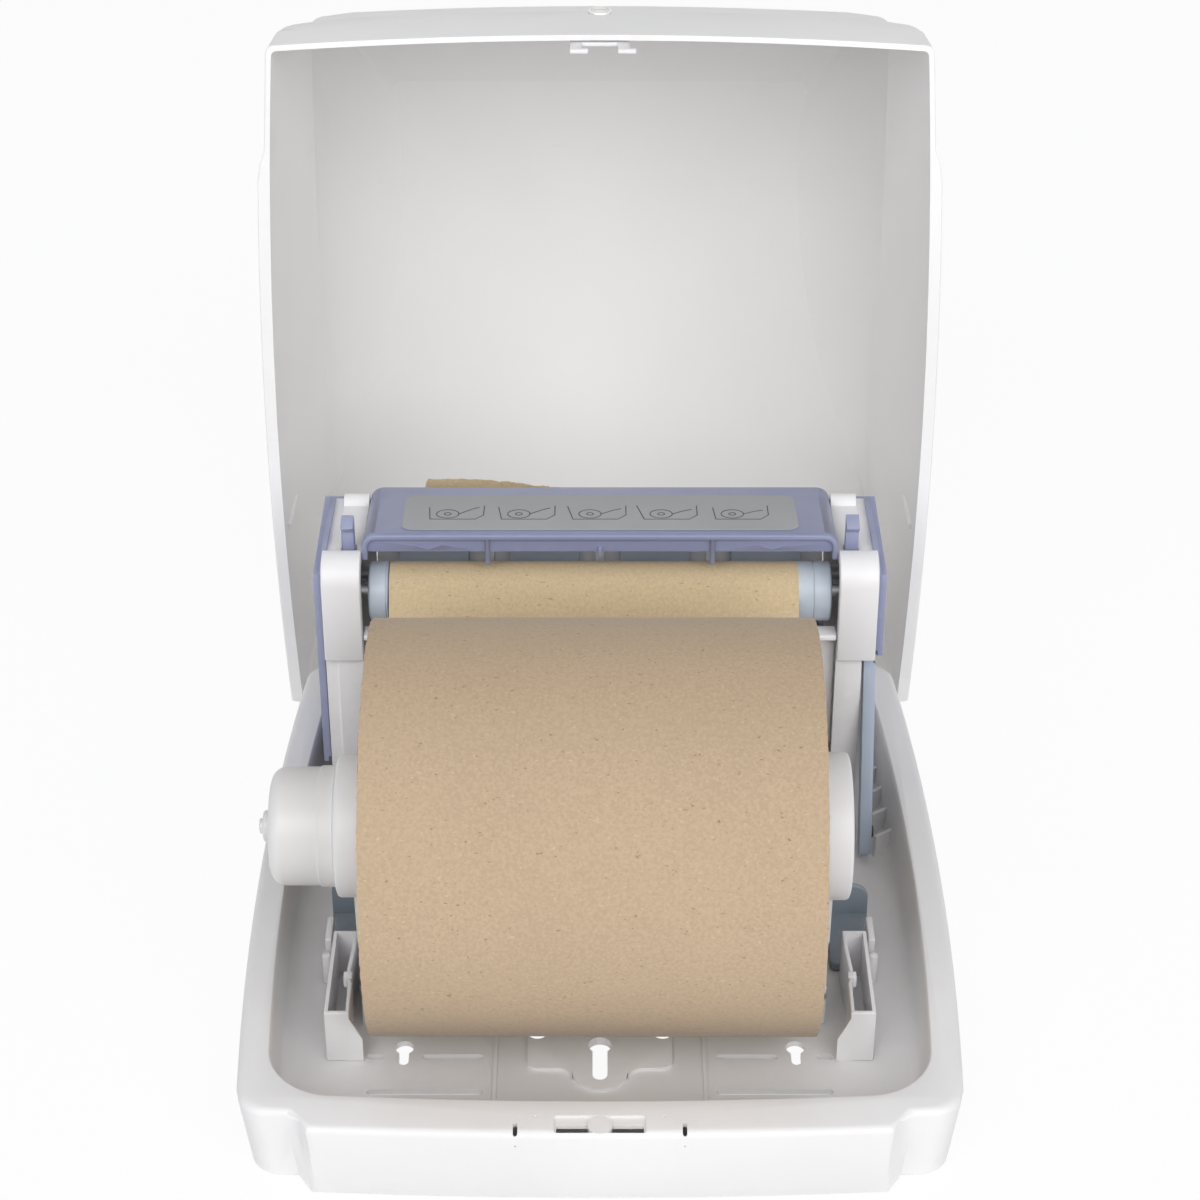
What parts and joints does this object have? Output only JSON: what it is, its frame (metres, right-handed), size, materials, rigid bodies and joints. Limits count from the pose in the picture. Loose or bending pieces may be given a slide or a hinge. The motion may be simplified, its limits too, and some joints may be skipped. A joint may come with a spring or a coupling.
{
  "type": "paper towel dispenser",
  "caption": "Wall paper towel dispenser lying open on its back: white tray and cover, kraft roll on two arms, feed roller, drum and blue guide cover.",
  "frame": {"origin": "middle of the flat wall face at the back of the tray", "axes": "+Z out from the wall towards the cover, +Y towards the outlet end and its cover hinge, which is downwards once hung, +X to the right as pictured. It lies on its back with the cover swung fully open, as in the picture"},
  "size_m": [0.3508, 0.576, 0.3868],
  "materials": {
    "white_plastic": "satin, lightly dusted",
    "periwinkle_plastic": "satin gloss",
    "pale_blue_plastic": "satin",
    "slate_plastic": "satin",
    "steel": "satin",
    "kraft_paper": "matt, flecked",
    "core_board": "matt",
    "label_film": "matt print film"
  },
  "bodies": {
    "tray": {"rear_tray": "white_plastic", "cross_panel": "white_plastic", "outlet_chute": "white_plastic", "paper_web": "kraft_paper", "lever_pin": "steel", "left_arm_bracket": "white_plastic", "right_arm_bracket": "white_plastic", "left_arm_base": "slate_plastic", "right_arm_base": "slate_plastic", "left_arm_saddle": "white_plastic", "right_arm_saddle": "white_plastic", "left_arm_pin": "steel", "right_arm_pin": "steel", "left_hinge_pin": "steel", "right_hinge_pin": "steel", "left_side_frame": "white_plastic", "right_side_frame": "white_plastic", "left_front_strap": "white_plastic", "right_front_strap": "white_plastic", "left_drum_bush": "slate_plastic", "right_drum_bush": "slate_plastic", "left_feed_bush": "slate_plastic", "right_feed_bush": "slate_plastic", "left_frame_screw": "steel", "right_frame_screw": "steel", "left_side_cover": "periwinkle_plastic", "right_side_cover": "periwinkle_plastic"},
    "cover": {"cover_shell": "white_plastic"},
    "lock": {"lock_barrel": "steel"},
    "latch": {"cover_latch": "white_plastic"},
    "guide": {"guide_cover": "periwinkle_plastic", "instruction_label": "label_film"},
    "left_tab": {"left_release_tab": "periwinkle_plastic"},
    "right_tab": {"right_release_tab": "periwinkle_plastic"},
    "feed": {"feed_roller": "slate_plastic", "feed_axle": "steel", "feed_gear": "white_plastic", "left_feed_cap": "pale_blue_plastic", "right_feed_cap": "pale_blue_plastic"},
    "drum": {"drum_axle": "steel", "drum_core": "white_plastic", "drum_segment_1": "pale_blue_plastic", "drum_segment_2": "pale_blue_plastic", "drum_segment_3": "pale_blue_plastic", "drum_segment_4": "pale_blue_plastic", "drum_ring_1": "white_plastic", "drum_ring_2": "white_plastic", "drum_ring_3": "white_plastic", "drum_gear": "white_plastic", "drum_cam": "slate_plastic"},
    "roll": {"paper_roll": "kraft_paper", "roll_core": "core_board"},
    "left_arm": {"left_roll_arm": "white_plastic"},
    "right_arm": {"right_roll_arm": "white_plastic"},
    "left_hub_body": {"left_hub": "white_plastic", "left_core_plug": "white_plastic"},
    "right_hub_body": {"right_hub": "white_plastic", "right_core_plug": "white_plastic"},
    "lever": {"transfer_lever": "pale_blue_plastic"}
  },
  "joints": [
    {"name": "cover_hinge", "type": "hinge", "parent": "tray", "child": "cover", "pos_m": [0, 0.17825, 0.025], "axis": [1, 0, 0], "range_deg": [0, 93.7]},
    {"name": "lock_turn", "type": "hinge", "parent": "cover", "child": "lock", "pos_m": [0, 0.27105, 0.38461], "axis": [0, -0.0645, -0.9979], "range_deg": [0, 90]},
    {"name": "latch_slide", "type": "slide", "parent": "cover", "child": "latch", "axis": [1, 0, 0], "range_m": [0, 0.004], "stiffness_N_per_m": 100},
    {"name": "guide_hinge", "type": "hinge", "parent": "tray", "child": "guide", "pos_m": [0, 0.156, 0.158], "axis": [1, 0, 0], "range_deg": [-95, 0]},
    {"name": "left_tab_turn", "type": "hinge", "parent": "tray", "child": "left_tab", "pos_m": [-0.1246, 0.1024, 0.154], "axis": [1, 0, 0], "range_deg": [-10, 0]},
    {"name": "right_tab_turn", "type": "hinge", "parent": "tray", "child": "right_tab", "pos_m": [0.1246, 0.1024, 0.154], "axis": [1, 0, 0], "range_deg": [-10, 0]},
    {"name": "feed_spin", "type": "hinge", "parent": "tray", "child": "feed", "pos_m": [0, 0.101, 0.14], "axis": [1, 0, 0], "continuous": true},
    {"name": "drum_spin", "type": "hinge", "parent": "tray", "child": "drum", "pos_m": [0, 0.1468, 0.1214], "axis": [1, 0, 0], "continuous": true},
    {"name": "roll_spin", "type": "hinge", "parent": "tray", "child": "roll", "pos_m": [0, -0.0528, 0.1092], "axis": [1, 0, 0], "continuous": true},
    {"name": "left_arm_swing", "type": "hinge", "parent": "tray", "child": "left_arm", "pos_m": [-0.1094, -0.0528, 0.02], "axis": [0, 1, 0], "range_deg": [-7, 0], "stiffness_Nm_per_rad": 12},
    {"name": "right_arm_swing", "type": "hinge", "parent": "tray", "child": "right_arm", "pos_m": [0.1034, -0.0528, 0.02], "axis": [0, 1, 0], "range_deg": [0, 7], "stiffness_Nm_per_rad": 12},
    {"name": "left_hub_spin", "type": "hinge", "parent": "left_arm", "child": "left_hub_body", "pos_m": [0, -0.0528, 0.1092], "axis": [1, 0, 0], "continuous": true},
    {"name": "right_hub_spin", "type": "hinge", "parent": "right_arm", "child": "right_hub_body", "pos_m": [0, -0.0528, 0.1092], "axis": [1, 0, 0], "continuous": true},
    {"name": "lever_swing", "type": "hinge", "parent": "tray", "child": "lever", "pos_m": [0.1349, 0.1, 0.127], "axis": [1, 0, 0], "range_deg": [-8, 0]}
  ],
  "couplings": [
    {"joint": "drum_spin", "follows": "feed_spin", "ratio": -0.42857},
    {"joint": "roll_spin", "follows": "feed_spin", "ratio": -0.15333},
    {"joint": "left_hub_spin", "follows": "feed_spin", "ratio": -0.15333},
    {"joint": "right_hub_spin", "follows": "feed_spin", "ratio": -0.15333}
  ]
}
